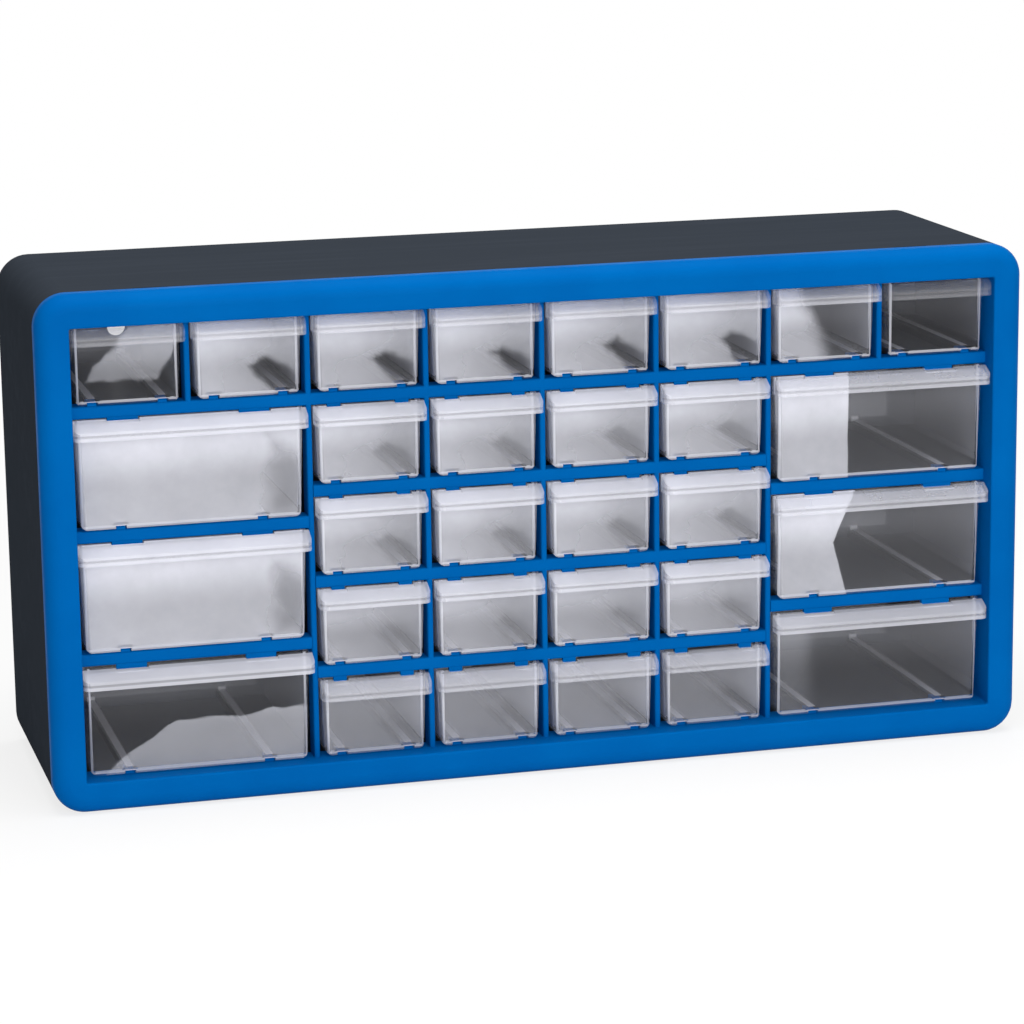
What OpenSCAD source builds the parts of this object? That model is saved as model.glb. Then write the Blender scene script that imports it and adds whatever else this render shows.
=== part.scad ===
// Parts bin cabinet: a bench or wall cabinet with 24 small and 6 large pull-out drawers.
// Units are millimetres. +Z is up, the drawers open towards -Y, and the origin is the middle of
// the footprint, on the surface that the cabinet stands on.

/* [Cabinet] */
// Overall width
cabinet_w = 500; // [480:5:560]
// Overall height
cabinet_h = 255; // [245:1:280]
// Overall depth, from the face of the bezel to the back
cabinet_d = 145; // [130:1:180]
// Radius of the four long corners
corner_r = 16; // [15.5:0.5:20]
// Thickness of the case's walls
case_t = 2.2; // [2:0.1:3]
// Radius along the rear edges of the case
rear_edge_r = 3; // [1:0.5:4]

/* [Front frame] */
// Width of the bezel round the drawers
bezel_w = 16; // [15:0.5:17]
// Depth of the bezel, from its face to its seam with the case
bezel_d = 12; // [11:0.5:14]
// Radius of the bezel's bull-nosed outer edge
nose_r = 8; // [6:0.5:10]
// Radius in the inner corners of the bezel
opening_r = 1; // [0.5:0.25:1.25]
// Distance from the bezel's face back to the face of the grid
grid_recess = 11; // [10:0.5:12]
// Height of a grid rail, between one row and the next
rail_h = 6.1; // [5.2:0.1:8]
// Thickness of a grid divider, between one column and the next
divider_t = 2.8; // [2.4:0.1:4]
// Depth of the grid's bars
bar_d = 10; // [8:0.5:12]
// Extra height of the openings in the bottom row
bottom_extra = 0.6; // [0.4:0.1:1.2]

/* [Drawers] */
// Wall thickness of a drawer
drawer_t = 1.4; // [1.2:0.1:1.8]
// Side clearance between a drawer and its opening
side_gap = 1.5; // [1.4:0.1:2]
// Draft of the drawer's sides, in degrees
draft = 2; // [1:0.25:2.5]
// Radius of the upright corners of a drawer
drawer_corner_r = 3; // [2:0.5:4]
// Radius along the lower edges of a drawer's sides
drawer_floor_r = 3.5; // [2.5:0.5:4]
// Fall of the handle lip, in degrees below the horizontal
lip_fall = 26; // [18:1:28]
// Height of the handle lip, from the top of the drawer to the rim's lower edge
lip_h = 8.6; // [7.5:0.1:10]
// Radius of the lip's front corners
lip_corner_r = 4; // [2:0.5:6]
// Free space behind a closed drawer
rear_gap = 3.5; // [3:0.5:8]

/* [Hidden] */
$fn = 48;
eps = 0.01;

// Grid: 8 columns. The top row and the middle 4 columns hold small drawers, and the 2 columns
// on each side hold large drawers, 3 high beside 4 rows of small ones.
columns = 8;
small_rows = 5;
large_rows = 3;
side_columns = 2;
opening_w = cabinet_w - 2 * bezel_w;
opening_h = cabinet_h - 2 * bezel_w;
opening_z = bezel_w;
column_pitch = (opening_w + divider_t) / columns;
small_w = column_pitch - divider_t;
large_w = side_columns * column_pitch - divider_t;
small_h = (opening_h - bottom_extra - (small_rows - 1) * rail_h) / small_rows;
lower_h = opening_h - small_h - rail_h;
large_h = (lower_h - bottom_extra - (large_rows - 1) * rail_h) / large_rows;

// Places along Y
front_y = -cabinet_d / 2;
back_y = cabinet_d / 2;
grid_y = front_y + grid_recess;
bars_back_y = grid_y + bar_d;

// Front frame: hollow bezel, skirt inside the case, and clips with their pry notches
frame_t = 2;
seam_gap = 0.15;
skirt_t = 1.8;
skirt_d = 6;
skirt_in = case_t + seam_gap + skirt_t;
hollow_d = 3;
clip_w = 14;
clip_d = 9;
clip_hook = 0.7;
clip_x = 193;
clip_z = 42;
pry_w = 17;
pry_d = 1.5;
bar_edge_r = 1.1;
bar_wall = 1.6;

// Stop tabs that hang over each opening, and guide ribs that stand under each drawer
tab_h = 1.8;
tab_t = 2.4;
tab_y = 0.3;
tab_chamfer = 0.6;
small_tab_w = 6.7;
small_tab_x = 17;
large_tab_w = 15;
large_tab_x = 32;
small_guide_x = 17;
large_guide_x = 34.7;
guide_w = 4.4;
guide_h = 2;

// Inner rack: shelves behind the rails, and uprights and dividers that stand between them
shelf_t = 2;
shelf_drop = (rail_h + shelf_t) / 2;
upright_t = 1.6;
seat_d = 0.4;
fit = 0.1;
rack_y = bars_back_y + 0.2;
rack_back_y = back_y - case_t - 0.2;
tongue_y = grid_y + 4;
inner_w = cabinet_w - 2 * case_t;
wall_seat = 0.8;
rack_half_w = inner_w / 2 + wall_seat - 2 * fit;

// Drawers, in a frame of their own: Y = 0 is the face of the grid, Z = 0 the top of the rail
front_out = 1.2;
front_t = 1.6;
floor_z = 0.8;
floor_t = 1.4;
top_gap = 0.4;
side_dip = 3;
dip_margin = 7;
drawer_back = cabinet_d - grid_recess - case_t - rear_gap;
channel_w = guide_w + 1;
channel_top = guide_h + 0.2;
ridge_w = 8.2;
ridge_top_w = 7;
lip_over = 1.1;
lip_t = 1.4;
lip_reach = grid_recess - 0.2;
lip_edge_r = 1.5;
lip_back = 0.3;
recess_d = 0.6;
recess_len = 3.3;
gate_r = 2.2;
gate_y = 38;

// Keyholes for hanging the cabinet on two screws
keyhole_x = 190;
keyhole_z = 215;
keyhole_head_r = 4.75;
keyhole_slot_r = 2.4;
keyhole_rise = 9;

SMALL = [for (row = [1:small_rows], col = [1:columns])
    if (row == 1 || (col > side_columns && col <= columns - side_columns)) [row, col]];
LARGE = [for (side = [-1, 1], n = [1:large_rows]) [side, n]];
SIDE_SHELVES = [for (side = [-1, 1], n = [1:large_rows - 1]) [side, n]];
CENTRE_SHELVES = [2:small_rows - 1];

function side_name(side) = side < 0 ? "left" : "right";
function small_name(d) = str("small_drawer_", d[0], "_", d[1]);
function large_name(d) = str("large_drawer_", side_name(d[0]), "_", d[1]);
function side_shelf_name(s) = str(side_name(s[0]), "_shelf_", s[1]);
function centre_shelf_name(row) = str("centre_shelf_", row - 1);

// Middle of a column, of a large drawer's pair of columns, and of the divider after a column
function column_x(col) = -opening_w / 2 + small_w / 2 + (col - 1) * column_pitch;
function large_x(side) = side * (opening_w - large_w) / 2;
function divider_x(col) = column_x(col) + column_pitch / 2;
function dividers_x(first, last) = [for (col = [first:last]) divider_x(col)];
// Top of the rail that a row stands on, where the last row is the bottom one
function row_z(row, rows, h) = opening_z
    + (row == rows ? 0 : bottom_extra + (rows - row) * (h + rail_h));
function small_z(row) = row_z(row, small_rows, small_h);
function large_z(n) = row_z(n, large_rows, large_h);

left_block_x = divider_x(side_columns);
right_block_x = divider_x(columns - side_columns);
top_plate_z = opening_z + opening_h + frame_t + fit;

// ---- Helpers ----

// Stands a front view up: 2-D X and Y become X and Z, and the depth runs back along +Y
module facing(depth) mirror([0, 1, 0]) rotate([90, 0, 0]) linear_extrude(depth) children();

// Runs a side view, drawn in Y and Z, along X on both sides of the middle
module across(len) translate([-len / 2, 0, 0]) rotate([90, 0, 90]) linear_extrude(len) children();

// A box from its lowest to its highest corner
module block(low, high) translate(low) cube(high - low);

// What is left of a square corner outside a round of radius r
module corner_waste(r) difference() {
    translate([-1, -1]) square(r + 1);
    translate([r, r]) circle(r);
}

module rounded_rect(w, h, r) {
    translate([-w / 2 + r, 0]) square([w - 2 * r, h]);
    translate([-w / 2, r]) square([w, h - 2 * r]);
    for (sx = [-1, 1], z = [r, h - r]) translate([sx * (w / 2 - r), z]) circle(r);
}

// Sweeps a cutter's section round an outline with round corners. The section's X runs outwards
// from the outline, and its Y runs back from the face of the bezel.
module round_outline(w, h, r) translate([0, front_y, cabinet_h / 2])
    mirror([0, 1, 0]) rotate([90, 0, 0]) for (k = [0:3]) {
        half_w = (k % 2 == 0 ? w : h) / 2;
        half_h = (k % 2 == 0 ? h : w) / 2;
        rotate(90 * k) {
            translate([half_w, half_h - r, 0]) rotate([90, 0, 0])
                linear_extrude(2 * (half_h - r)) children();
            translate([half_w - r, half_h - r, 0]) rotate_extrude(angle = 90)
                translate([r, 0]) children();
        }
    }

// A band round the cabinet, between two distances inwards from its outer face, and between two
// depths from the face of the bezel
module band(outer, inner, depth0, depth1) translate([0, front_y + depth0, 0])
    facing(depth1 - depth0) difference() {
        inset_outline(outer);
        inset_outline(inner);
    }

// The cabinet's outline, moved inwards
module inset_outline(inset) translate([0, inset])
    rounded_rect(cabinet_w - 2 * inset, cabinet_h - 2 * inset, max(corner_r - inset, opening_r));

// Puts its children at each clip of the front frame. There X runs along the edge, Y runs back
// from the face of the bezel, and Z runs outwards from the case's outer face.
module at_clips() for (sx = [-1, 1], sz = [-1, 1]) {
    translate([sx * clip_x, front_y, (1 + sz) * cabinet_h / 2])
        rotate([0, sz > 0 ? 0 : 180, 0]) children();
    translate([sx * cabinet_w / 2, front_y, cabinet_h / 2 + sz * clip_z])
        rotate([0, sx * 90, 0]) children();
}

// ---- Case ----

module keyhole() {
    circle(keyhole_head_r);
    translate([-keyhole_slot_r, 0]) square([2 * keyhole_slot_r, keyhole_rise]);
    translate([0, keyhole_rise]) circle(keyhole_slot_r);
}

// A groove in both side walls for the ends of a shelf
module wall_groove(z) block(
    [-inner_w / 2 - wall_seat, rack_y - fit, z - fit],
    [inner_w / 2 + wall_seat, back_y - case_t - eps, z + shelf_t + fit]);

// A notch at the seam, where a blade springs a clip, and the pocket that the clip hooks into
module clip_cuts() {
    block([-pry_w / 2, bezel_d, -case_t - 1], [pry_w / 2, bezel_d + pry_d, 1]);
    block([-clip_w / 2 - 0.5, bezel_d + skirt_d + clip_d - 5, -case_t - 1],
          [clip_w / 2 + 0.5, bezel_d + skirt_d + clip_d + 0.5, -case_t + clip_hook + 0.2]);
}

module case() color([0.13, 0.14, 0.17]) difference() {
    translate([0, front_y + bezel_d + seam_gap, 0])
        facing(cabinet_d - bezel_d - seam_gap) inset_outline(0);
    translate([0, front_y, 0]) facing(cabinet_d - case_t) inset_outline(case_t);
    round_outline(cabinet_w, cabinet_h, corner_r)
        translate([0, cabinet_d]) rotate(180) corner_waste(rear_edge_r);
    at_clips() clip_cuts();
    for (z = concat([small_z(1), opening_z], [for (n = [1:large_rows - 1]) large_z(n)]))
        wall_groove(z - shelf_drop);
    wall_groove(top_plate_z);
    for (sx = [-1, 1]) translate([sx * keyhole_x, back_y - case_t - 1, keyhole_z])
        facing(case_t + 2) keyhole();
}

// ---- Front frame ----

// The bezel: a bull-nosed outer edge, hollow behind, with an inner wall that carries the grid
// and a skirt that enters the case
module bezel() difference() {
    wall_back = grid_recess + bar_d;
    union() {
        translate([0, front_y, 0]) facing(bezel_d) inset_outline(0);
        translate([0, front_y + hollow_d, 0]) facing(wall_back - hollow_d)
            inset_outline(bezel_w - frame_t);
        band(skirt_in - skirt_t, skirt_in, hollow_d, bezel_d + skirt_d);
    }
    band(skirt_in, bezel_w - frame_t, hollow_d, bezel_d + 1);
    translate([0, front_y - 1, opening_z]) facing(wall_back + 2)
        rounded_rect(opening_w, opening_h, opening_r);
    round_outline(cabinet_w, cabinet_h, corner_r) mirror([1, 0]) corner_waste(nose_r);
    round_outline(opening_w, opening_h, opening_r) corner_waste(bar_edge_r);
}

// A clip: a tongue behind the skirt, with a hook that snaps into the case's pocket
module clip() translate([0, bezel_d + skirt_d - 1, -case_t - seam_gap]) across(clip_w)
    polygon([
        [0, 0], [clip_d - 3.4, 0], [clip_d - 3.4, clip_hook + seam_gap],
        [clip_d - 2.6, clip_hook + seam_gap], [clip_d, -0.4], [clip_d, -skirt_t], [0, -skirt_t]]);

// A rail between two rows, with round front edges
module rail(x0, x1, z) translate([(x0 + x1) / 2, grid_y, z]) across(x1 - x0) {
    translate([bar_edge_r, 0]) square([bar_d - bar_edge_r, rail_h]);
    translate([0, bar_edge_r]) square([bar_edge_r + eps, rail_h - 2 * bar_edge_r]);
    for (y = [bar_edge_r, rail_h - bar_edge_r]) translate([bar_edge_r, y]) circle(bar_edge_r);
}

// The channel in the back of a rail, which takes the front edge of a shelf
module rail_channel(x0, x1, z) block(
    [x0, grid_y + bar_wall, z + bar_wall], [x1, bars_back_y + 1, z + rail_h - bar_wall]);

// A divider between two columns, with round front edges
module divider(x, z0, z1) translate([x, grid_y, z0]) linear_extrude(z1 - z0) {
    translate([-divider_t / 2, bar_edge_r]) square([divider_t, bar_d - bar_edge_r]);
    translate([-divider_t / 2 + bar_edge_r, 0])
        square([divider_t - 2 * bar_edge_r, bar_edge_r + eps]);
    for (sx = [-1, 1]) translate([sx * (divider_t / 2 - bar_edge_r), bar_edge_r])
        circle(bar_edge_r);
}

// The grid's rails and, with cut, the channels in their backs
module each_rail(cut) {
    half = opening_w / 2;
    wall = divider_t / 2;
    spans = concat(
        [[-half, half, small_z(1)]],
        [for (row = CENTRE_SHELVES) [left_block_x + wall, right_block_x - wall, small_z(row)]],
        [for (n = [1:large_rows - 1]) [-half, left_block_x - wall, large_z(n)]],
        [for (n = [1:large_rows - 1]) [right_block_x + wall, half, large_z(n)]]);
    for (s = spans) if (cut) rail_channel(s[0], s[1], s[2] - rail_h);
        else rail(s[0] - eps, s[1] + eps, s[2] - rail_h);
}

// The pair of stop tabs over an opening, each as far above the drawer's floor in every row
module stop_tabs(x, z, h, tab_x, tab_w) for (sx = [-1, 1])
    translate([x + sx * tab_x, grid_y + tab_y, z + h - tab_h]) facing(tab_t)
        polygon([[-tab_w / 2 + tab_chamfer, 0], [tab_w / 2 - tab_chamfer, 0],
                 [tab_w / 2, tab_chamfer], [tab_w / 2, tab_h + bottom_extra + 0.3],
                 [-tab_w / 2, tab_h + bottom_extra + 0.3], [-tab_w / 2, tab_chamfer]]);

// The pair of guide ribs under a drawer, with a lead-in at the front
module guide_ribs(x, z, guide_x) for (sx = [-1, 1])
    translate([x + sx * guide_x, grid_y, z]) across(guide_w)
        polygon([[0.9, -0.5], [bar_d, -0.5], [bar_d, guide_h], [2, guide_h], [0.9, 0.9]]);

module front_frame() color([0, 0.42, 0.76]) {
    bezel();
    at_clips() clip();
    difference() {
        union() {
            each_rail(false);
            for (x = dividers_x(1, columns - 1))
                divider(x, small_z(1) - 1, opening_z + opening_h + 1);
            for (x = dividers_x(side_columns, columns - side_columns))
                divider(x, opening_z - 1, small_z(1) - rail_h + 1);
        }
        each_rail(true);
    }
    for (d = SMALL) {
        stop_tabs(column_x(d[1]), small_z(d[0]), small_h, small_tab_x, small_tab_w);
        guide_ribs(column_x(d[1]), small_z(d[0]), small_guide_x);
    }
    for (d = LARGE) {
        stop_tabs(large_x(d[0]), large_z(d[1]), large_h, large_tab_x, large_tab_w);
        guide_ribs(large_x(d[0]), large_z(d[1]), large_guide_x);
    }
}

// ---- Inner rack ----

module shell_plastic() color([0.17, 0.18, 0.2]) children();

// A groove that the edge of an upright stands in
module seat(x, z) block([x - upright_t / 2 - fit, rack_y - 1, z],
                        [x + upright_t / 2 + fit, rack_back_y + 1, z + seat_d + eps]);

// A shelf plate, with guide ribs under its drawers and a tongue that enters the rail in front.
// Its underside is z, and seats for uprights lie above and below.
module shelf(x0, x1, z, tongue = [], guides = [], above = [], below = []) shell_plastic() {
    difference() {
        union() {
            block([x0, rack_y, z], [x1, rack_back_y, z + shelf_t]);
            if (len(tongue) == 2)
                block([tongue[0], tongue_y, z], [tongue[1], rack_y + eps, z + shelf_t]);
        }
        for (x = above) seat(x, z + shelf_t - seat_d);
        for (x = below) seat(x, z - eps);
    }
    for (x = guides)
        block([x - guide_w / 2, bars_back_y + 0.5, z + shelf_t - eps],
              [x + guide_w / 2, rack_back_y, z + shelf_drop + guide_h]);
}

// An upright plate, with grooves for the ends of the shelves on its left and on its right
module upright(x, z0, z1, left = [], right = []) shell_plastic() difference() {
    block([x - upright_t / 2, rack_y, z0 - seat_d + fit],
          [x + upright_t / 2, rack_back_y - fit, z1 + seat_d - fit]);
    for (z = left) upright_groove(x - upright_t / 2 - 1, x - upright_t / 2 + seat_d, z);
    for (z = right) upright_groove(x + upright_t / 2 - seat_d, x + upright_t / 2 + 1, z);
}

// Ribs across a plate, which hold it off the case's floor or roof
module plate_ribs(z0, z1) shell_plastic() for (x = dividers_x(1, columns - 1))
    block([x - upright_t / 2, rack_y, z0], [x + upright_t / 2, rack_back_y, z1]);

module upright_groove(x0, x1, z) block([x0, rack_y - 1, z - fit], [x1, back_y, z + shelf_t + fit]);

function small_guides(cols) = [for (col = cols, sx = [-1, 1]) column_x(col) + sx * small_guide_x];
function large_guides(side) = [for (sx = [-1, 1]) large_x(side) + sx * large_guide_x];
centre_columns = [side_columns + 1:columns - side_columns];
centre_dividers_x = dividers_x(side_columns + 1, columns - side_columns - 1);
function shelf_z(z) = z - shelf_drop;
side_shelves_z = [for (n = [1:large_rows - 1]) shelf_z(large_z(n))];
centre_shelves_z = [for (row = CENTRE_SHELVES) shelf_z(small_z(row))];
// Ends of the shelves that sit in the grooves of the two tall uprights
upright_face = upright_t / 2 - seat_d + fit;

module top_plate() {
    shelf(-rack_half_w, rack_half_w, top_plate_z, below = dividers_x(1, columns - 1));
    plate_ribs(top_plate_z + shelf_t - eps, cabinet_h - case_t - fit);
}

module row_shelf() shelf(-rack_half_w, rack_half_w, shelf_z(small_z(1)),
    [-opening_w / 2 + 2 * fit, opening_w / 2 - 2 * fit], small_guides([1:columns]),
    dividers_x(1, columns - 1), dividers_x(side_columns, columns - side_columns));

module floor_shelf() {
    shelf(-rack_half_w, rack_half_w, shelf_z(opening_z),
        guides = concat(small_guides(centre_columns), large_guides(-1), large_guides(1)),
        above = dividers_x(side_columns, columns - side_columns));
    plate_ribs(case_t + fit, shelf_z(opening_z) + eps);
}

module side_shelf(s) {
    wall_end = s[0] * rack_half_w;
    inner_end = s[0] * (right_block_x + upright_face);
    tongue_ends = [s[0] * (right_block_x + divider_t / 2 + 2 * fit),
                   s[0] * (opening_w / 2 - 2 * fit)];
    shelf(min(wall_end, inner_end), max(wall_end, inner_end), shelf_z(large_z(s[1])),
        [min(tongue_ends), max(tongue_ends)], large_guides(s[0]));
}

module centre_shelf(row) shelf(left_block_x + upright_face, right_block_x - upright_face,
    shelf_z(small_z(row)),
    [left_block_x + divider_t / 2 + 2 * fit, right_block_x - divider_t / 2 - 2 * fit],
    small_guides(centre_columns), centre_dividers_x, centre_dividers_x);

module block_upright(x, left, right) upright(x, shelf_z(opening_z) + shelf_t,
    shelf_z(small_z(1)), left, right);
module left_upright() block_upright(left_block_x, side_shelves_z, centre_shelves_z);
module right_upright() block_upright(right_block_x, centre_shelves_z, side_shelves_z);

module top_dividers() for (x = dividers_x(1, columns - 1))
    upright(x, shelf_z(small_z(1)) + shelf_t, top_plate_z);

module centre_dividers() for (row = [2:small_rows], x = centre_dividers_x)
    upright(x, shelf_z(small_z(row)) + shelf_t, shelf_z(small_z(row - 1)));

// ---- Drawers ----

// A box whose sides lean in towards the floor by the draft, with round upright corners and round
// lower edges. Its width w is measured at the height h.
module drafted_box(w, h, y0, y1, z0, corner, edge) {
    centre_x = w / 2 - (h - z0 - edge) * tan(draft) - edge / cos(draft);
    touch = [centre_x + edge * cos(draft), z0 + edge * (1 - sin(draft))];
    intersection() {
        translate([0, y0, 0]) facing(y1 - y0) {
            polygon([[-centre_x, z0], [centre_x, z0], touch, [w / 2 + 2, h], [-w / 2 - 2, h],
                     [-touch[0], touch[1]]]);
            for (sx = [-1, 1]) translate([sx * centre_x, z0 + edge]) circle(edge);
        }
        leaning_side(w, h, y0, y1, corner);
        mirror([1, 0, 0]) leaning_side(w, h, y0, y1, corner);
    }
}

// A tall block that covers the box and leans with its left side
module leaning_side(w, h, y0, y1, corner) translate([-w / 2, 0, h]) rotate([0, -draft, 0])
    translate([0, 0, -1.5 * h]) linear_extrude(2 * h) {
        translate([corner, y0]) square([w * 1.5, y1 - y0]);
        translate([0, y0 + corner]) square([corner + eps, y1 - y0 - 2 * corner]);
        for (y = [y0 + corner, y1 - corner]) translate([corner, y]) circle(corner);
    }

// Side view of the handle lip: a plate that slopes forwards and turns down into a rim. With
// inset, it is the space inside the lip.
module lip_profile(h, inset) {
    y_round = -lip_reach + lip_edge_r;
    slope_y = -front_out;
    z_round = h - (lip_edge_r + (slope_y - y_round) * sin(lip_fall)) / cos(lip_fall);
    rim_z = h - lip_h;
    if (inset == 0) {
        polygon([[-lip_back, h], [slope_y, h],
                 [y_round - lip_edge_r * sin(lip_fall), z_round + lip_edge_r * cos(lip_fall)],
                 [y_round, z_round], [-lip_reach, z_round], [-lip_reach, rim_z],
                 [-lip_back, rim_z]]);
        translate([y_round, z_round]) circle(lip_edge_r);
    } else {
        top_z = h - inset / cos(lip_fall);
        polygon([[1, top_z], [slope_y, top_z],
                 [-lip_reach + inset, top_z - (lip_reach - inset + slope_y) * tan(lip_fall)],
                 [-lip_reach + inset, rim_z - 1], [1, rim_z - 1]]);
    }
}

// The lip's plan, with round front corners
module lip_plan(w, inset) {
    r = lip_corner_r - inset;
    half = w / 2 - inset;
    front = -lip_reach + inset;
    translate([-half, front + r]) square([2 * half, lip_reach + 2]);
    translate([-half + r, front]) square([2 * (half - r), r + eps]);
    for (sx = [-1, 1]) translate([sx * (half - r), front + r]) circle(r);
}

module lip(w, h) difference() {
    intersection() {
        across(w) lip_profile(h, 0);
        linear_extrude(h + 1) lip_plan(w, 0);
    }
    intersection() {
        across(w) lip_profile(h, lip_t);
        linear_extrude(h + 1) lip_plan(w, lip_t);
    }
}

// Where a stop tab hangs, the drawer's front edge is notched and the lip is recessed
module tab_notch(h, opening_top) polygon([
    [1, h + 1], [1, opening_top - tab_h - 0.3], [-front_out / 2, opening_top - tab_h - 0.3],
    [-front_out, h - recess_d],
    [-front_out - recess_len * cos(lip_fall), h - recess_d - recess_len * sin(lip_fall)],
    [-front_out - recess_len * cos(lip_fall), h + 1]]);

module drawer(opening_width, opening_height, tab_x, tab_w, guide_x) {
    w = opening_width - 2 * side_gap;
    h = opening_height - top_gap;
    inner_y0 = front_t - front_out;
    inner_y1 = drawer_back - drawer_t;
    difference() {
        union() {
            difference() {
                drafted_box(w, h, -front_out, drawer_back, floor_z,
                    drawer_corner_r, drawer_floor_r);
                drafted_box(w - 2 * drawer_t, h + 1, inner_y0, inner_y1, floor_z + floor_t,
                    drawer_corner_r - drawer_t, drawer_floor_r - drawer_t);
                // The sides dip between the front and the rear wall, which meets the stop tabs
                translate([0, (inner_y0 + inner_y1) / 2, h - side_dip]) across(w + 4)
                    rounded_rect(inner_y1 - inner_y0 - 2 * dip_margin, 3 * side_dip,
                        side_dip - eps);
            }
            lip(w + 2 * lip_over, h);
            for (sx = [-1, 1]) translate([sx * guide_x, inner_y0 - eps, floor_z])
                facing(inner_y1 - inner_y0 + 2 * eps)
                polygon([[-ridge_w / 2, floor_t / 2], [ridge_w / 2, floor_t / 2],
                         [ridge_top_w / 2, channel_top + floor_t - floor_z],
                         [-ridge_top_w / 2, channel_top + floor_t - floor_z]]);
            children();
        }
        for (sx = [-1, 1]) {
            block([sx * guide_x - channel_w / 2, -front_out - 1, 0],
                  [sx * guide_x + channel_w / 2, drawer_back + 1, channel_top]);
            translate([sx * tab_x, 0, 0]) across(tab_w + 1) tab_notch(h, opening_height);
        }
    }
}

module small_drawer(d) color([0.85, 0.86, 0.9, 0.6])
    translate([column_x(d[1]), grid_y, small_z(d[0])])
    drawer(small_w, small_h, small_tab_x, small_tab_w, small_guide_x);

// A large drawer also shows the mark of the mould's gate on its floor
module large_drawer(d) color([0.85, 0.86, 0.9, 0.6])
    translate([large_x(d[0]), grid_y, large_z(d[1])])
    drawer(large_w, large_h, large_tab_x, large_tab_w, large_guide_x)
    translate([0, gate_y, floor_z + eps]) cylinder(floor_t + 0.4, gate_r, gate_r);

case();
front_frame();
top_plate();
row_shelf();
floor_shelf();
for (s = SIDE_SHELVES) side_shelf(s);
for (row = CENTRE_SHELVES) centre_shelf(row);
left_upright();
right_upright();
top_dividers();
centre_dividers();
for (d = SMALL) small_drawer(d);
for (d = LARGE) large_drawer(d);
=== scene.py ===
"""Parts bin cabinet: moulded finishes, drawers with rounded edges, and the stage.

It is laid out as a Blender add-on and run as a script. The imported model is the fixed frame, and
every piece is made around it, in metres.
"""
import math
from typing import NamedTuple

import bmesh
import bpy
from mathutils import Matrix, Vector


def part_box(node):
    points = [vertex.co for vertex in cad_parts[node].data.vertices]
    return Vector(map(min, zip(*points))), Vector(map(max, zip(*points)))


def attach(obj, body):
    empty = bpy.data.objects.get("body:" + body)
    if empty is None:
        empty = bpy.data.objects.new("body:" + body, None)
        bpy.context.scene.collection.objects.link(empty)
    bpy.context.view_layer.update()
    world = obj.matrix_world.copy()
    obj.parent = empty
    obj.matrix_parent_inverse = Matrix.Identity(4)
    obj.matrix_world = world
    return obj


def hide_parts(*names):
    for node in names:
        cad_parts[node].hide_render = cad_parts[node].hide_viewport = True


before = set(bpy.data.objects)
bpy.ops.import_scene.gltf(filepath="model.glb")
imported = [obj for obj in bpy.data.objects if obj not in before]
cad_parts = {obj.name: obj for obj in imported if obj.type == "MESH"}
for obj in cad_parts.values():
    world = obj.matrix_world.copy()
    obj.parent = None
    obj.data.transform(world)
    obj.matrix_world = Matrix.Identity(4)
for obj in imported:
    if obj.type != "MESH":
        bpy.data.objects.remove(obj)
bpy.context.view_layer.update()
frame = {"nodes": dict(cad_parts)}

bl_info = {
    "name": "Parts Bin Cabinet",
    "version": (1, 0, 0),
    "blender": (4, 5, 0),
    "location": "View3D > Sidebar > Cabinet",
    "description": "Finishes, drawers and stage of a parts bin cabinet",
    "category": "Object",
}

MM = 0.001

NODES = frame["nodes"]
SMALL_DRAWERS = sorted(n for n in NODES if n.startswith("small_drawer_"))
LARGE_DRAWERS = sorted(n for n in NODES if n.startswith("large_drawer_"))
RACK = ["top_plate", "row_shelf", "floor_shelf", "left_shelf_1", "left_shelf_2",
        "right_shelf_1", "right_shelf_2", "centre_shelf_1", "centre_shelf_2", "centre_shelf_3",
        "left_upright", "right_upright", "top_dividers", "centre_dividers"]


# ---- Settings ----

def colour(name, description, default):
    return bpy.props.FloatVectorProperty(
        name=name, description=description, subtype="COLOR", size=3, min=0, max=1,
        default=default)


def length(name, description, default):
    return bpy.props.FloatProperty(
        name=name, description=description, unit="LENGTH", precision=5, min=0, default=default)


def factor(name, description, default):
    return bpy.props.FloatProperty(
        name=name, description=description, subtype="FACTOR", min=0, max=1, default=default)


class CabinetFinishSettings(bpy.types.PropertyGroup):
    """Colours and surface of the case, the front frame and the rack"""
    case: colour("Case", "Dark slate plastic of the case", (0.033, 0.0395, 0.050))
    case_streak: colour("Case streaks", "Paler flow marks in the case", (0.0375, 0.0445, 0.0565))
    frame: colour("Front frame", "Blue plastic of the front frame", (0.0, 0.101, 0.358))
    frame_pale: colour("Front frame, pale", "Paler clouds in the blue", (0.0, 0.112, 0.384))
    rack: colour("Rack", "Dark plastic of the shelves inside", (0.028, 0.032, 0.041))
    grain: length("Grain", "Size of the fine moulded grain", 0.0006)
    flow: length("Flow marks", "Width of the long flow marks in the case", 0.009)


class CabinetDrawerSettings(bpy.types.PropertyGroup):
    """Plastic and edges of the drawers"""
    plastic: colour("Plastic", "Milky plastic of the drawers", (0.92, 0.925, 1.0))
    # The edges' colour is a painted highlight along the rounded edges
    edge: colour("Edges", "Bright plastic along the rounded edges", (0.94, 0.945, 0.98))
    edge_round: length("Edge round", "Radius along the drawers' sharp edges", 0.00045)
    milk: factor("Milk", "Opacity of a face of the milkiest front panels", 0.53)
    inner: factor("Inner", "Opacity of a face of the milkiest walls and floors", 0.6)
    lip: factor("Lip", "Opacity of a face of the milkiest handle lips", 0.34)


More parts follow.
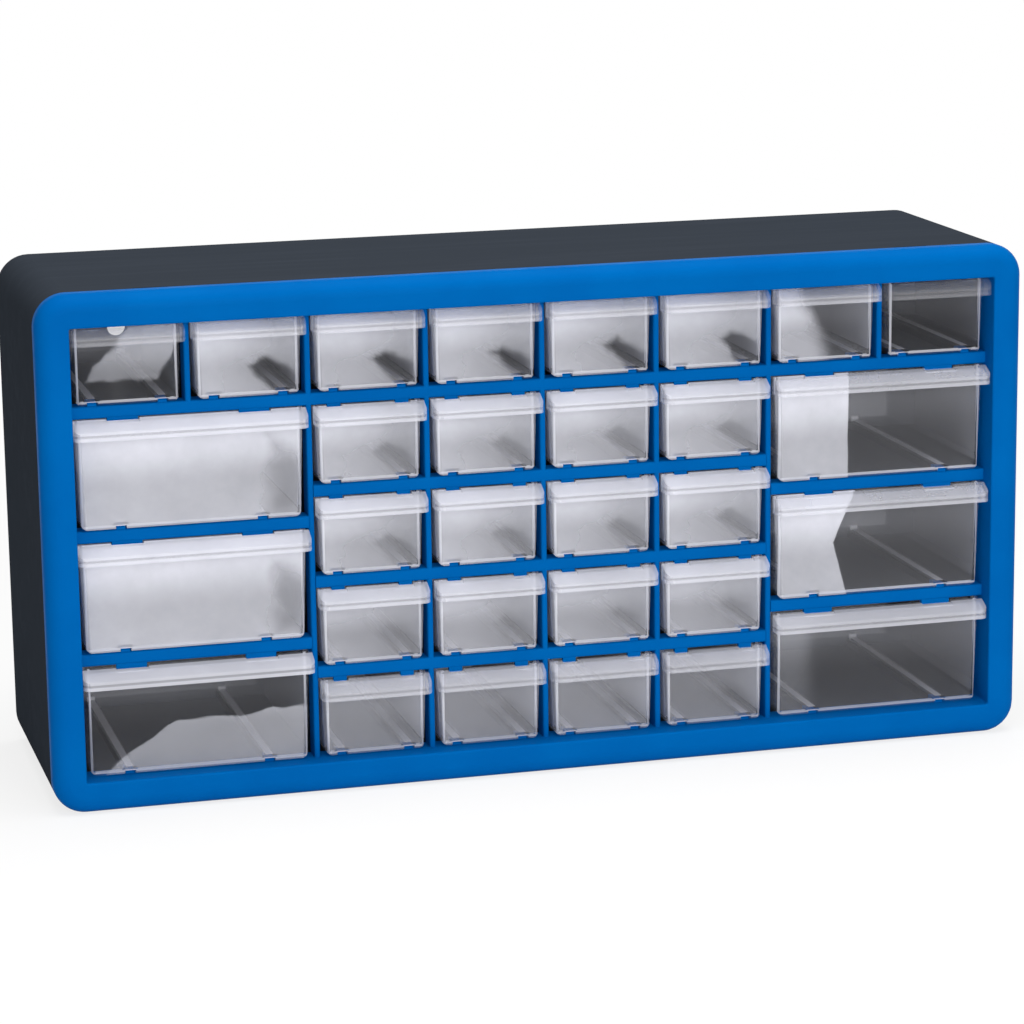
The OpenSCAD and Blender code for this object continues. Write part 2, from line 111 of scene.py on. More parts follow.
class CabinetStageSettings(bpy.types.PropertyGroup):
    """Camera, lamps and floor"""
    camera_at: bpy.props.FloatVectorProperty(
        name="Camera", description="Place of the camera", subtype="TRANSLATION",
        default=(-0.4637, -1.7367, 0.5198))
    yaw: bpy.props.FloatProperty(
        name="Yaw", description="Turn of the camera to the right of +Y", unit="ROTATION",
        default=0.2609)
    pitch: bpy.props.FloatProperty(
        name="Pitch", description="Tilt of the camera below the horizon", unit="ROTATION",
        default=0.2193)
    roll: bpy.props.FloatProperty(
        name="Roll", description="Roll of the camera", unit="ROTATION", default=-0.0134)
    lens: bpy.props.FloatProperty(
        name="Lens", description="Focal length in millimetres", subtype="DISTANCE_CAMERA",
        default=126.08)
    ambient: bpy.props.FloatProperty(
        name="Ambient", description="Strength of the even light from all round", default=0.36)
    top_lamp: bpy.props.FloatProperty(
        name="Top lamp", description="Power of the lamp above", unit="POWER", default=24)
    front_lamp: bpy.props.FloatProperty(
        name="Front lamp", description="Power of the lamp in front", unit="POWER", default=33)
    floor_size: length("Floor", "Width of the floor", 12.0)


# ---- Shader trees ----

FLOAT, VECTOR = "NodeSocketFloat", "NodeSocketVector"
# Places of the colour sockets on a Mix node, which has like-named sockets for other kinds
MIX_FIRST, MIX_SECOND, MIX_RESULT = 6, 7, 2


class Tree:
    """Adds nodes to a shader tree and links them."""

    def __init__(self, tree):
        self.tree = tree

    def add(self, kind, **values):
        node = self.tree.nodes.new(kind)
        for name, value in values.items():
            setattr(node, name, value)
        return node

    def put(self, socket, value):
        """Links a socket to another, or sets its value."""
        if isinstance(value, bpy.types.NodeSocket):
            self.tree.links.new(value, socket)
        else:
            socket.default_value = value

    def node(self, kind, outputs=0, inputs=None, **values):
        """Adds a node, fills its inputs by name or number, and returns an output."""
        node = self.add(kind, **values)
        for key, value in (inputs or {}).items():
            self.put(node.inputs[key], value)
        return node.outputs[outputs]

    def math(self, operation, *values):
        return self.node("ShaderNodeMath", inputs=dict(enumerate(values)), operation=operation)

    def ramp(self, value, low, high):
        """0 below low, 1 above high, smooth in between."""
        return self.node(
            "ShaderNodeMapRange", inputs={"Value": value, "From Min": low, "From Max": high},
            interpolation_type="SMOOTHSTEP")

    def band(self, value, middle, half):
        """1 round the middle, 0 from half its width away."""
        away = self.math("ABSOLUTE", self.math("SUBTRACT", value, middle))
        return self.math("SUBTRACT", 1.0, self.ramp(away, 0.5 * half, half))

    def mix(self, share, first, second):
        return self.node("ShaderNodeMix", inputs={"Factor": share, "A": first, "B": second},
                         data_type="FLOAT")

    def mix_colour(self, share, first, second):
        node = self.add("ShaderNodeMix", data_type="RGBA")
        self.put(node.inputs["Factor"], share)
        self.put(node.inputs[MIX_FIRST], first)
        self.put(node.inputs[MIX_SECOND], second)
        return node.outputs[MIX_RESULT]

    def noise(self, vector, scale, detail=2.0, roughness=0.5):
        return self.node("ShaderNodeTexNoise", inputs={
            "Vector": vector, "Scale": scale, "Detail": detail, "Roughness": roughness})

    def axes(self, vector):
        """X, Y and Z of a vector."""
        node = self.add("ShaderNodeSeparateXYZ")
        self.put(node.inputs[0], vector)
        return tuple(node.outputs)


def rgba(values, share=1.0):
    """A colour at a share of its brightness."""
    return (*(share * value for value in values), 1.0)


def effect_group(name, inputs, outputs):
    """An empty shader node group with its sockets, and its input and output nodes."""
    group = bpy.data.node_groups.new(name, "ShaderNodeTree")
    for socket, kind, default in inputs:
        made = group.interface.new_socket(name=socket, in_out="INPUT", socket_type=kind)
        made.default_value = default
    for socket, kind in outputs:
        group.interface.new_socket(name=socket, in_out="OUTPUT", socket_type=kind)
    tree = Tree(group)
    return tree, tree.add("NodeGroupInput").outputs, tree.add("NodeGroupOutput").inputs


def moulded_grain():
    """Fine grain of a moulded surface, and slow clouds of its colour."""
    found = bpy.data.node_groups.get("Moulded grain")
    if found:
        return found
    tree, given, out = effect_group(
        "Moulded grain",
        [("Grain Size", FLOAT, 0.0006), ("Cloud Size", FLOAT, 0.05)],
        [("Height", FLOAT), ("Cloud", FLOAT)])
    place = tree.node("ShaderNodeTexCoord", "Object")
    fine = tree.noise(place, tree.math("DIVIDE", 1.0, given["Grain Size"]),
                      detail=3.0, roughness=0.6)
    cloud = tree.noise(place, tree.math("DIVIDE", 1.0, given["Cloud Size"]),
                       detail=4.0, roughness=0.55)
    tree.put(out["Height"], fine)
    tree.put(out["Cloud"], tree.ramp(cloud, low=0.32, high=0.68))
    return tree.tree


def flow_marks():
    """Long faint marks where the melt ran along the mould."""
    found = bpy.data.node_groups.get("Flow marks")
    if found:
        return found
    tree, given, out = effect_group(
        "Flow marks",
        [("Width", FLOAT, 0.009), ("Length", FLOAT, 0.16)],
        [("Mark", FLOAT), ("Height", FLOAT)])
    x, y, z = tree.axes(tree.node("ShaderNodeTexCoord", "Object"))
    stretched = tree.node("ShaderNodeCombineXYZ", inputs={
        0: tree.math("DIVIDE", x, given["Length"]),
        1: tree.math("DIVIDE", y, given["Width"]),
        2: tree.math("DIVIDE", z, given["Width"])})
    marks = tree.noise(stretched, 1.0, detail=5.0, roughness=0.62)
    tree.put(out["Mark"], tree.ramp(marks, low=0.42, high=0.74))
    tree.put(out["Height"], marks)
    return tree.tree


# Bands of the front panel, in from its side and up from its foot: painted shade at the round
# corners, which are clearer, and painted highlight lines where the walls and the floor meet it
CORNER_FROM, CORNER_TO = 1.7 * MM, 2.3 * MM
WALL_LINE, FLOOR_LINE, LINE_HALF = 2.6 * MM, 1.3 * MM, 0.7 * MM
CORNER_SHARE = 0.55
LINE_STRENGTH, LINE_OPACITY = 0.5, 0.75
# The panel's milkiness rises from a share at its foot and falls to the right, between these
# shares of its height and of its half width, as painted shade on its foot and its right side
FOOT_SHARE = 0.56
RISE_FROM, RISE_TO = 0.4, 0.85
FALL_FROM, FALL_TO = -1.0, 1.3
# Scales of the wobble along the patch's edge and of the smears, and the smears' shares
WOBBLE_SCALE, SMEAR_SCALE = 55.0, 160.0
SMEAR_LOW, SMEAR_HIGH = 0.93, 1.07
# The floor and the ridges along it, up from the drawer's foot
FLOOR_FROM, FLOOR_TO = 3.2 * MM, 4.2 * MM
RIDGE_HALF, RIDGE_Z, RIDGE_HALF_HEIGHT = 2.6 * MM, 3.0 * MM, 1.8 * MM
FLOOR_SHARE, RIDGE_OPACITY = 0.3, 0.55
# Where the lip ends and where the walls begin, back from the panel's face
LIP_FROM, LIP_TO = -1.7 * MM, -1.4 * MM
BACK_FROM, BACK_TO = 0.6 * MM, 1.2 * MM
# Half width of the painted shade along the crease where the lip turns to its rim, and the
# painted shade on the rest of the lip
CREASE_HALF, LIP_PAINTED_SHADE = 0.8 * MM, 0.12


def patch_mask(tree, given, place, x, z):
    """1 on the inner side of the three lines, with a soft edge that wobbles."""
    spot = tree.node("ShaderNodeCombineXYZ", inputs={0: x, 1: z, 2: 1.0})
    depths = [tree.node("ShaderNodeVectorMath", "Value", {0: spot, 1: given[f"Line {n}"]},
                        operation="DOT_PRODUCT") for n in (1, 2, 3)]
    depth = tree.math("MINIMUM", tree.math("MINIMUM", depths[0], depths[1]), depths[2])
    slow = tree.noise(place, WOBBLE_SCALE, detail=3.0)
    shift = tree.math("MULTIPLY", tree.math("SUBTRACT", slow, 0.5), given["Wobble"])
    return tree.ramp(tree.math("ADD", depth, shift),
                     tree.math("MULTIPLY", given["Softness"], -1.0), given["Softness"])


def panel_opacity(tree, given, place, x, z, side_x):
    """The front panel: smears, and painted light: a patch of painted reflection and shade,
    painted shade at its foot, to its right and at its clearer corners, and painted highlight
    lines at its walls and floor.
    """
    inset = tree.math("SUBTRACT", given["Half Width"], side_x)
    share_up = tree.math("DIVIDE", z, given["Rim"])
    share_across = tree.math("DIVIDE", x, given["Half Width"])
    # Smears, then painted shade at the corners, and painted light and shade up the panel and to
    # its right
    shares = (
        tree.mix(tree.noise(place, SMEAR_SCALE), SMEAR_LOW, SMEAR_HIGH),
        tree.mix(tree.ramp(inset, CORNER_FROM, CORNER_TO), CORNER_SHARE, 1.0),
        tree.mix(tree.ramp(share_up, RISE_FROM, RISE_TO), FOOT_SHARE, given["Top Share"]),
        tree.mix(tree.ramp(share_across, FALL_FROM, FALL_TO), 1.0, given["Right Share"]))
    # The patch paints a reflection where it is milkier than the panel and shade where it is
    # clearer
    panel = tree.mix(patch_mask(tree, given, place, x, z), given["Panel"], given["Patch"])
    for share in shares:
        panel = tree.math("MULTIPLY", panel, share)
    # Painted highlight lines where the walls and the floor meet the panel
    lines = tree.math("MAXIMUM", tree.band(inset, WALL_LINE, LINE_HALF),
                      tree.band(z, FLOOR_LINE, LINE_HALF))
    return tree.mix(tree.math("MULTIPLY", lines, LINE_STRENGTH), panel, LINE_OPACITY)


def inner_opacity(tree, given, side_x, z):
    """The walls, the clearer floor, and the ridges along it."""
    floor = tree.math("SUBTRACT", 1.0, tree.ramp(z, FLOOR_FROM, FLOOR_TO))
    inner = tree.math("MULTIPLY", given["Inner"], tree.mix(floor, 1.0, FLOOR_SHARE))
    ridge = tree.math("MULTIPLY", tree.band(side_x, given["Ridge X"], RIDGE_HALF),
                      tree.band(z, RIDGE_Z, RIDGE_HALF_HEIGHT))
    return tree.mix(ridge, inner, RIDGE_OPACITY)


def milkiness_and_painted_light():
    """How much a drawer's plastic hides, and the painted shade on its lip.

    Origin is the middle of the front panel's foot. The milkiness is partly the plastic's own
    and partly painted light: the panel has one patch, a painted reflection where it is milkier
    and painted shade where it is clearer, which lies on the inner side of three lines. Each line
    is a vector: its normal's share across and up, and its offset. With the lines left as they
    are there is no patch.
    """
    found = bpy.data.node_groups.get("Milkiness and painted light")
    if found:
        return found
    tree, given, out = effect_group(
        "Milkiness and painted light",
        [("Origin", VECTOR, (0.0, 0.0, 0.0)), ("Line 1", VECTOR, (0.0, 0.0, -1.0)),
         ("Line 2", VECTOR, (0.0, 0.0, 1.0)), ("Line 3", VECTOR, (0.0, 0.0, 1.0)),
         ("Softness", FLOAT, 0.001), ("Wobble", FLOAT, 0.001), ("Panel", FLOAT, 0.5),
         ("Patch", FLOAT, 0.1), ("Inner", FLOAT, 0.2), ("Lip", FLOAT, 0.6),
         ("Top Share", FLOAT, 1.0), ("Right Share", FLOAT, 1.0),
         ("Half Width", FLOAT, 0.025), ("Ridge X", FLOAT, 0.017), ("Rim", FLOAT, 0.03)],
        [("Opacity", FLOAT), ("Painted Shade", FLOAT)])
    place = tree.node("ShaderNodeTexCoord", "Object")
    local = tree.node("ShaderNodeVectorMath", inputs={0: place, 1: given["Origin"]},
                      operation="SUBTRACT")
    x, y, z = tree.axes(local)
    side_x = tree.math("ABSOLUTE", x)
    panel = panel_opacity(tree, given, place, x, z, side_x)
    inner = inner_opacity(tree, given, side_x, z)
    past_lip = tree.ramp(y, LIP_FROM, LIP_TO)
    behind = tree.ramp(y, BACK_FROM, BACK_TO)
    tree.put(out["Opacity"], tree.mix(past_lip, given["Lip"], tree.mix(behind, panel, inner)))
    # The lip has painted shade: it is greyer than the panel, most of all along the crease where
    # it turns to its rim
    crease = tree.band(z, given["Rim"], CREASE_HALF)
    tree.put(out["Painted Shade"], tree.math("MULTIPLY", tree.mix(crease, LIP_PAINTED_SHADE, 1.0),
                                     tree.math("SUBTRACT", 1.0, past_lip)))
    return tree.tree


# ---- Materials ----

# Specular levels: the case has no gloss, the front frame hardly any, the drawers a soft one
MATT = 0.0
DULL = 0.004
SATIN = 0.3
GRAIN_DEPTH = 0.05 * MM
# Shares of the drawers' colour in its darker clouds, in the painted shade of the lips and on
# the edges
CLOUD_SHARE, PAINTED_SHADE_SHARE, EDGE_CLOUD_SHARE = 0.92, 0.55, 0.86
# How much clearer a drawer's edges are in their clouds
EDGE_CLEARER = 0.1
# Dark plastic: how strong the flow marks stay between the clouds, how much smoother they are,
# and the share of the grain in the relief
MARKS_LEFT, MARKS_SMOOTHER, GRAIN_RELIEF = 0.35, 0.1, 0.35
# The front frame's grain is coarser than the case's by this factor
FRAME_GRAIN = 1.4


def material(name):
    """A new material's tree, its Principled shader and the material."""
    made = bpy.data.materials.new(name)
    made.use_nodes = True
    tree = Tree(made.node_tree)
    return made, tree, made.node_tree.nodes["Principled BSDF"]


def place_group(tree, group, values):
    """Places a group with its inputs' values, and returns its outputs."""
    node = tree.add("ShaderNodeGroup", node_tree=group)
    for name, value in values.items():
        tree.put(node.inputs[name], value)
    return node.outputs


def bump(tree, shader, height, strength=0.5):
    """Feeds a height into the shader's normal."""
    normal = tree.node("ShaderNodeBump", "Normal", {
        "Height": height, "Distance": GRAIN_DEPTH, "Strength": strength})
    tree.put(shader.inputs["Normal"], normal)


def dark_plastic(name, base, streak, settings, roughness):
    """Dark moulded plastic with grain, clouds and long flow marks."""
    made, tree, shader = material(name)
    shader.inputs["Specular IOR Level"].default_value = MATT
    grain = place_group(tree, moulded_grain(),
                        {"Grain Size": settings.grain, "Cloud Size": 0.07})
    marks = place_group(tree, flow_marks(), {"Width": settings.flow, "Length": 0.16})
    share = tree.math("MULTIPLY", marks["Mark"], tree.mix(grain["Cloud"], MARKS_LEFT, 1.0))
    tree.put(shader.inputs["Base Color"], tree.mix_colour(share, rgba(base), rgba(streak)))
    tree.put(shader.inputs["Roughness"],
             tree.mix(share, roughness, roughness - MARKS_SMOOTHER))
    relief = tree.math("MULTIPLY", grain["Height"], GRAIN_RELIEF)
    height = tree.math("ADD", relief, marks["Height"])
    bump(tree, shader, height, strength=0.6)
    return made


def blue_plastic(settings):
    """The front frame's blue plastic: nearly matt, with faint clouds and a fine grain."""
    made, tree, shader = material("Frame blue")
    shader.inputs["Specular IOR Level"].default_value = DULL
    grain = place_group(tree, moulded_grain(),
                        {"Grain Size": settings.grain * FRAME_GRAIN, "Cloud Size": 0.045})
    tree.put(shader.inputs["Base Color"],
             tree.mix_colour(grain["Cloud"], rgba(settings.frame), rgba(settings.frame_pale)))
    tree.put(shader.inputs["Roughness"], tree.mix(grain["Cloud"], 0.42, 0.34))
    bump(tree, shader, grain["Height"])
    return made


def drawer_plastic(name, settings, look):
    """One drawer's milky clear plastic, with painted reflections and shade in its milkiness and
    painted shade on its lip. Look holds the values of the milkiness and painted light.
    """
    made, tree, shader = material(name)
    shader.inputs["Specular IOR Level"].default_value = SATIN
    # Milkiness with painted reflections and shade, and the painted shade on the lip
    cloud = place_group(tree, milkiness_and_painted_light(), look)
    grain = place_group(tree, moulded_grain(), {"Grain Size": 0.012, "Cloud Size": 0.03})
    clouded = tree.mix_colour(grain["Cloud"], rgba(settings.plastic, CLOUD_SHARE),
                              rgba(settings.plastic))
    # The lip's painted shade greys the plastic's colour
    tree.put(shader.inputs["Base Color"],
             tree.mix_colour(cloud["Painted Shade"], clouded, rgba(settings.plastic, PAINTED_SHADE_SHARE)))
    tree.put(shader.inputs["Alpha"], cloud["Opacity"])
    tree.put(shader.inputs["Roughness"], tree.mix(grain["Cloud"], 0.16, 0.24))
    return made


def drawer_edge(name, settings, opacity):
    """The rounded edges, with a painted highlight: whiter and more opaque than the walls."""
    made, tree, shader = material(name)
    grain = place_group(tree, moulded_grain(), {"Grain Size": 0.003, "Cloud Size": 0.012})
    clouded = tree.mix_colour(grain["Cloud"], rgba(settings.edge, EDGE_CLOUD_SHARE),
                              rgba(settings.edge))
    tree.put(shader.inputs["Base Color"], clouded)
    tree.put(shader.inputs["Alpha"],
             tree.mix(grain["Cloud"], opacity - EDGE_CLEARER, opacity))
    tree.put(shader.inputs["Roughness"], tree.mix(grain["Cloud"], 0.2, 0.3))
    return made


def dress(node, made):
    """Gives a CAD node's surface a material."""
    slots = NODES[node].data.materials
    slots.clear()
    slots.append(made)


# ---- Drawers ----

# Edges from SHARP up are rounded, and faces that turn less than FLAT are joined
SHARP = math.radians(32)
FLAT = math.radians(0.6)
SAME_POINT = 0.001 * MM
# Faces from this area up are flat walls, and smaller ones are strips of a rounding
WIDE_FACE = 60 * MM ** 2


def rounded_mesh(node, radius):
    """The node's own shape with its flat faces joined and its sharp edges rounded."""
    mesh = NODES[node].data.copy()
    form = bmesh.new()
    form.from_mesh(mesh)
    bmesh.ops.remove_doubles(form, verts=form.verts, dist=SAME_POINT)
    bmesh.ops.dissolve_limit(form, angle_limit=FLAT, verts=form.verts, edges=form.edges)
    sharp = [e for e in form.edges if e.is_manifold and e.calc_face_angle(0) > SHARP]
    # The rounded faces take the second slot, which holds the edges' painted highlight
    bmesh.ops.bevel(form, geom=sharp, offset=radius, offset_type="OFFSET", segments=2,
                    profile=0.6, affect="EDGES", clamp_overlap=True, material=1)
    form.to_mesh(mesh)
    form.free()
    mesh.set_sharp_from_angle(angle=SHARP)
    for face in mesh.polygons:
        face.use_smooth = face.area < WIDE_FACE
    return mesh


class Look(NamedTuple):
    """How milky a drawer is, with the painted reflections and shade in its milkiness.

    Panel, patch, inner and lip are shares of the settings, and their differences between the
    drawers paint reflections and shade. Top and right are further shares of the panel and its
    patch, reached towards those sides, where they paint light and shade. The patch lies to the
    right of each line, which passes x, z at an angle in degrees, and its edge strays by the
    wobble to either side. X is across from the middle of the panel and z up from its foot. All
    lengths are in millimetres.
    """
    panel: float = 1.0
    patch: float = 1.0
    inner: float = 1.0
    lip: float = 1.0
    lines: tuple = ()
    softness: float = 1.0
    wobble: float = 2.0
    top: float = 1.05
    right: float = 1.0


# The wedge where the small drawers' panels are clearer: painted shade at their lower right
PAINTED_SHADE_WEDGE = ((9, 18.5, -31), (2.1, 14.2, 32), (2.1, 14.2, 135))
# Each look paints reflections and shade into a drawer's milkiness and its lip
# The longest name that a drawer's name starts with gives its look
LOOKS = {
    "small_drawer_": Look(patch=0.7, lines=PAINTED_SHADE_WEDGE, softness=1.6, top=0.9, right=0.4),
    "small_drawer_1_": Look(patch=0.15, lip=0.7, lines=PAINTED_SHADE_WEDGE, softness=2.2, wobble=5,
                            top=0.9, right=0.4),
    "small_drawer_1_1": Look(panel=0.06, patch=0.45, inner=0.3, lip=0.4, wobble=7, softness=1.2,
                             lines=((-14, 17, 50), (0, 12, 180), (18, 17, -125))),
    "small_drawer_1_7": Look(panel=0.9, patch=0.1, inner=0.65, lip=0.7, lines=((-8, 20, 110),),
                             softness=7, wobble=6),
    "small_drawer_1_8": Look(panel=0.05, inner=0.2, lip=0.25),
    "small_drawer_4_": Look(panel=0.74, patch=0.6, lines=PAINTED_SHADE_WEDGE, softness=1.6, top=0.9, right=0.5),
    "small_drawer_5_": Look(panel=0.45, patch=0.35, lip=0.75, lines=PAINTED_SHADE_WEDGE, softness=5,
                            top=0.6, right=0.85),
    "small_drawer_5_6": Look(panel=0.36, patch=0.25, inner=0.85, lip=0.75, lines=PAINTED_SHADE_WEDGE,
                             softness=5, top=0.6, right=0.9),
    "large_drawer_left_": Look(panel=1.1, patch=0.55, softness=7, wobble=9, top=0.98, right=0.85,
                               lines=((41, 0, 90), (44, 36, -20), (0, 4, 180))),
    "large_drawer_left_3": Look(panel=0.06, patch=0.62, inner=0.3, lip=1.2, softness=0.6, wobble=5,
                                lines=((-42, 4, 36), (0, 24, 3))),
    "large_drawer_right_1": Look(patch=0.1, inner=0.3, lip=0.85, lines=((-16.8, 0, 90),),
                                 softness=0.4, wobble=0.5),
    "large_drawer_right_2": Look(patch=0.1, inner=0.3, lip=0.85, softness=0.4, wobble=1,
                                 lines=((-25, 27, 66), (-17, 0, 106))),
    "large_drawer_right_3": Look(panel=0.09, patch=0.22, inner=0.3, lip=0.95, softness=7,
                                 lines=((-38, 0, -90),)),
}
# Two clear drawers whose edges' painted highlight is dimmed as painted shade, and the opacities
DIM_EDGES = ("small_drawer_1_1", "small_drawer_1_8")
BRIGHT_EDGE, DIM_EDGE = 0.85, 0.5
# How far the lip reaches past the panel at each side, in front of its face and down from the
# drawer's top, and how far the ridges are from the middle
LIP_OVER, LIP_AHEAD, LIP_DOWN = 1.1 * MM, 10.8 * MM, 6.3 * MM
SMALL_RIDGE_X, LARGE_RIDGE_X = 17 * MM, 34.7 * MM


def line_vector(x, z, angle):
    """The line's normal, to its right, and its offset in metres."""
    turn = math.radians(angle)
    across, up = math.sin(turn), -math.cos(turn)
    return across, up, -(x * across + z * up) * MM


def drawer_look(node, settings):
    """Values of the milkiness and painted light for one drawer."""
    look = LOOKS[max((start for start in LOOKS if node.startswith(start)), key=len)]
    low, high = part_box(node)
    values = {
        "Origin": ((low.x + high.x) / 2, low.y + LIP_AHEAD, low.z),
        "Softness": look.softness * MM, "Wobble": 2 * look.wobble * MM,
        "Panel": look.panel * settings.milk, "Patch": look.patch * settings.milk,
        "Inner": look.inner * settings.inner, "Lip": look.lip * settings.lip,
        "Top Share": look.top, "Right Share": look.right,
        "Half Width": (high.x - low.x) / 2 - LIP_OVER, "Rim": high.z - low.z - LIP_DOWN,
        "Ridge X": LARGE_RIDGE_X if node in LARGE_DRAWERS else SMALL_RIDGE_X}
    for number, line in enumerate(look.lines, 1):
        values[f"Line {number}"] = line_vector(*line)
    return values


def build_drawers(nodes, settings, bright, dim):
    """Rounds the first drawer's edges and sets a copy in every place."""
    first = nodes[0]
    pattern = rounded_mesh(first, settings.edge_round)
    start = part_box(first)[0]
    for node in nodes:
        mesh = pattern.copy()
        mesh.transform(Matrix.Translation(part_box(node)[0] - start))
        mesh.materials.clear()
        mesh.materials.append(drawer_plastic(f"Plastic {node}", settings,
                                             drawer_look(node, settings)))
        # The edges' painted highlight, dimmed as painted shade on two drawers
        mesh.materials.append(dim if node in DIM_EDGES else bright)
        piece = bpy.data.objects.new(f"moulded_{node}", mesh)
        bpy.context.scene.collection.objects.link(piece)
        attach(piece, f"{node}_body")
        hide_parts(node)
    bpy.data.meshes.remove(pattern)


# ---- Stage ----

FLOOR_GREY = (0.86, 0.86, 0.86)
# The floor keeps the cabinet's shadow near the middle and is plain white farther out
SHADOW_FROM, SHADOW_TO, SHADOW_WHITE = 0.45, 1.0, 0.78


def light_path_white(tree):
    """1 for what the camera sees, straight, in a gloss or through glass; otherwise 0."""
    path = tree.add("ShaderNodeLightPath").outputs
    seen = tree.math("ADD", path["Is Camera Ray"], path["Is Glossy Ray"])
    seen = tree.math("ADD", seen, path["Is Transmission Ray"])
    return tree.math("MINIMUM", seen, 1.0)


def make_world(settings):
    world = bpy.data.worlds.new("Studio")
    bpy.context.scene.world = world
    world.use_nodes = True
    tree = Tree(world.node_tree)
    background = world.node_tree.nodes["Background"]
    background.inputs["Color"].default_value = (1, 1, 1, 1)
    tree.put(background.inputs["Strength"],
             tree.mix(light_path_white(tree), settings.ambient, 1.0))


def make_floor(settings):
    """A plain pale floor, which keeps a soft shadow of the cabinet."""
    half = settings.floor_size / 2
    mesh = bpy.data.meshes.new("floor")
    mesh.from_pydata([(-half, -half, 0), (half, -half, 0), (half, half, 0), (-half, half, 0)],
                     [], [(0, 1, 2, 3)])
    floor = bpy.data.objects.new("floor", mesh)
    bpy.context.scene.collection.objects.link(floor)
    made, tree, shader = material("Floor white")
    shader.inputs["Base Color"].default_value = rgba(FLOOR_GREY)
    shader.inputs["Roughness"].default_value = 0.7
    shader.inputs["Specular IOR Level"].default_value = MATT
    glow = tree.add("ShaderNodeEmission")
    blend = tree.add("ShaderNodeMixShader")
    away = tree.node("ShaderNodeVectorMath", "Value",
                     {0: tree.node("ShaderNodeTexCoord", "Object")}, operation="LENGTH")
    glow_share = tree.node("ShaderNodeMapRange", inputs={
        "Value": away, "From Min": SHADOW_FROM, "From Max": SHADOW_TO,
        "To Min": SHADOW_WHITE, "To Max": 1.0})
    tree.put(blend.inputs[0], tree.math("MULTIPLY", light_path_white(tree), glow_share))
    tree.put(blend.inputs[1], shader.outputs[0])
    tree.put(blend.inputs[2], glow.outputs[0])
    surface = made.node_tree.nodes["Material Output"].inputs["Surface"]
    tree.put(surface, blend.outputs[0])
    mesh.materials.append(made)


def make_lamp(name, at, towards, width, height, power):
    lamp = bpy.data.lights.new(name, "AREA")
    lamp.shape = "RECTANGLE"
    lamp.size, lamp.size_y, lamp.energy = width, height, power
    holder = bpy.data.objects.new(name, lamp)
    holder.location = at
    aim = Vector(towards) - Vector(at)
    holder.rotation_euler = aim.to_track_quat("-Z", "Y").to_euler()
    bpy.context.scene.collection.objects.link(holder)


def make_camera(settings):
    cos_pitch = math.cos(settings.pitch)
    forward = Vector((math.sin(settings.yaw) * cos_pitch, math.cos(settings.yaw) * cos_pitch,
                      -math.sin(settings.pitch)))
    right = Vector((math.cos(settings.yaw), -math.sin(settings.yaw), 0))
    up = right.cross(forward)
    cos_roll, sin_roll = math.cos(settings.roll), math.sin(settings.roll)
    rolled_right = cos_roll * right + sin_roll * up
    rolled_up = cos_roll * up - sin_roll * right
    data = bpy.data.cameras.new("camera")
    data.lens = settings.lens
    data.sensor_width = 36
    data.clip_end = 50
    camera = bpy.data.objects.new("camera", data)
    turn = Matrix((rolled_right, rolled_up, -forward)).transposed().to_4x4()
    camera.matrix_world = Matrix.Translation(settings.camera_at) @ turn
    bpy.context.scene.collection.objects.link(camera)
    bpy.context.scene.camera = camera


# ---- Operators ----

class CABINET_OT_case(bpy.types.Operator):
    """Give the case its dark moulded finish"""
    bl_idname = "cabinet.case"
    bl_label = "Case"

    def execute(self, context):
        settings = context.scene.cabinet_finish
        dress("case", dark_plastic("Slate plastic", settings.case, settings.case_streak,
                                   settings, roughness=0.5))
        return {"FINISHED"}


class CABINET_OT_front_frame(bpy.types.Operator):
    """Give the front frame its blue finish"""
    bl_idname = "cabinet.front_frame"
    bl_label = "Front frame"

    def execute(self, context):
        dress("front_frame", blue_plastic(context.scene.cabinet_finish))
        return {"FINISHED"}


class CABINET_OT_rack(bpy.types.Operator):
    """Give the shelves and uprights inside their dark finish"""
    bl_idname = "cabinet.rack"
    bl_label = "Rack"

    def execute(self, context):
        settings = context.scene.cabinet_finish
        made = dark_plastic("Rack slate", settings.rack, settings.case, settings,
                            roughness=0.55)
        for node in RACK:
            dress(node, made)
        return {"FINISHED"}


class CABINET_OT_drawers(bpy.types.Operator):
    """Build the small and the large drawers in milky clear plastic"""
    bl_idname = "cabinet.drawers"
    bl_label = "Drawers"

    def execute(self, context):
        settings = context.scene.cabinet_drawers
        # The edges' painted highlight, and a dimmer copy of it as painted shade
        bright = drawer_edge("Drawer edge", settings, BRIGHT_EDGE)
        dim = drawer_edge("Drawer edge, dim", settings, DIM_EDGE)
        build_drawers(SMALL_DRAWERS, settings, bright, dim)
        build_drawers(LARGE_DRAWERS, settings, bright, dim)
        return {"FINISHED"}


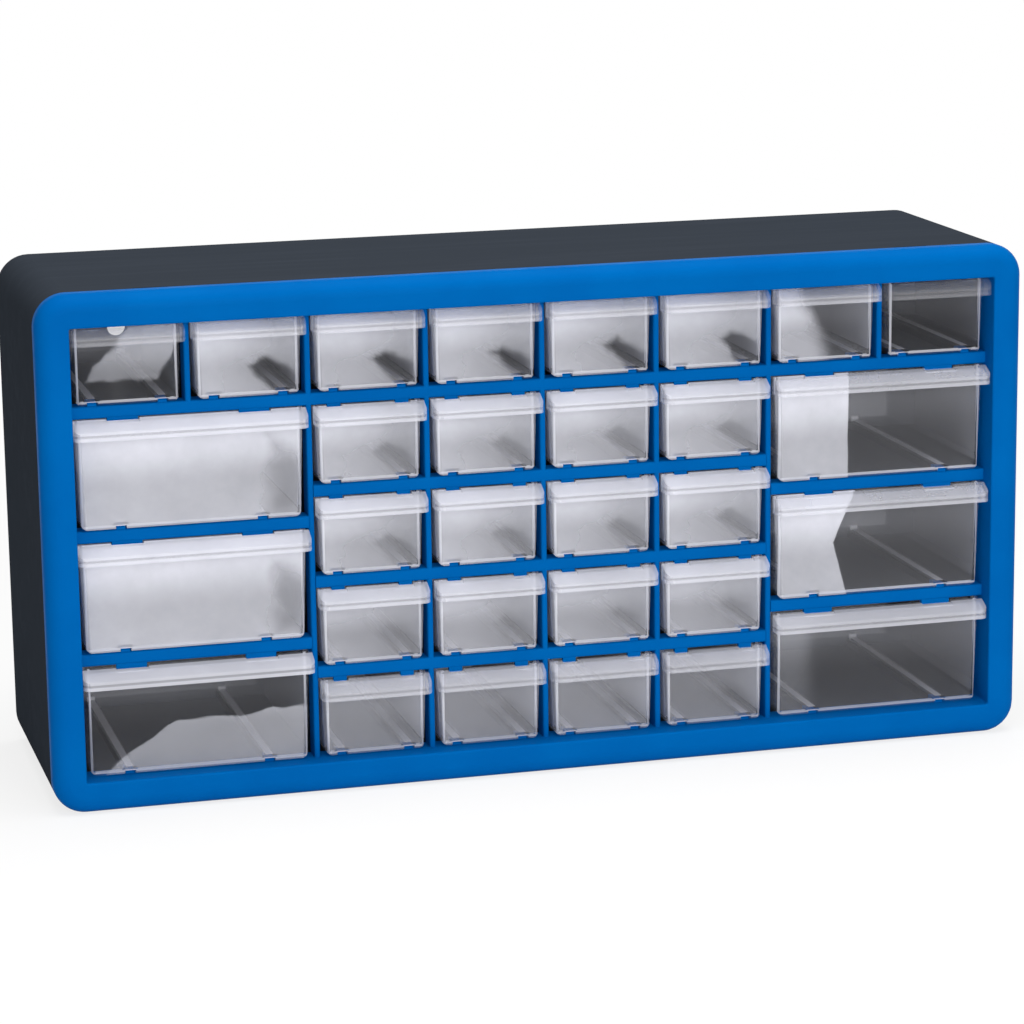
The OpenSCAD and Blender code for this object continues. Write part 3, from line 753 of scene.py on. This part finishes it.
class CABINET_OT_stage(bpy.types.Operator):
    """Set up the floor, the world, the lamps and the camera"""
    bl_idname = "cabinet.stage"
    bl_label = "Stage"

    def execute(self, context):
        settings = context.scene.cabinet_stage
        make_world(settings)
        make_floor(settings)
        target = (0, 0, 0.12)
        make_lamp("top_lamp", (0.1, -0.15, 1.6), target, width=1.5, height=1.1,
                  power=settings.top_lamp)
        make_lamp("front_lamp", (0.0, -2.5, 0.8), target, width=1.0, height=1.4,
                  power=settings.front_lamp)
        make_camera(settings)
        context.scene.view_settings.view_transform = "Standard"
        return {"FINISHED"}


class CABINET_PT_panel(bpy.types.Panel):
    """Lists the cabinet's settings and operators"""
    bl_label = "Parts Bin Cabinet"
    bl_space_type = "VIEW_3D"
    bl_region_type = "UI"
    bl_category = "Cabinet"

    def draw(self, context):
        for label, group, operators in PANEL_ROWS:
            box = self.layout.box()
            box.label(text=label)
            settings = getattr(context.scene, group)
            for name in settings.__annotations__:
                box.prop(settings, name)
            for operator in operators:
                box.operator(operator)


PANEL_ROWS = (
    ("Finish", "cabinet_finish", ("cabinet.case", "cabinet.front_frame", "cabinet.rack")),
    ("Drawers", "cabinet_drawers", ("cabinet.drawers",)),
    ("Stage", "cabinet_stage", ("cabinet.stage",)),
)
SETTINGS = {
    "cabinet_finish": CabinetFinishSettings,
    "cabinet_drawers": CabinetDrawerSettings,
    "cabinet_stage": CabinetStageSettings,
}
CLASSES = (
    CabinetFinishSettings, CabinetDrawerSettings, CabinetStageSettings, CABINET_OT_case,
    CABINET_OT_front_frame, CABINET_OT_rack, CABINET_OT_drawers, CABINET_OT_stage,
    CABINET_PT_panel,
)


def register():
    for made in CLASSES:
        bpy.utils.register_class(made)
    for name, group in SETTINGS.items():
        setattr(bpy.types.Scene, name, bpy.props.PointerProperty(type=group))


def unregister():
    for name in SETTINGS:
        delattr(bpy.types.Scene, name)
    for made in reversed(CLASSES):
        bpy.utils.unregister_class(made)


def main():
    register()
    bpy.ops.cabinet.stage()
    bpy.ops.cabinet.case()
    bpy.ops.cabinet.front_frame()
    bpy.ops.cabinet.rack()
    bpy.ops.cabinet.drawers()


if __name__ == "__main__":
    main()
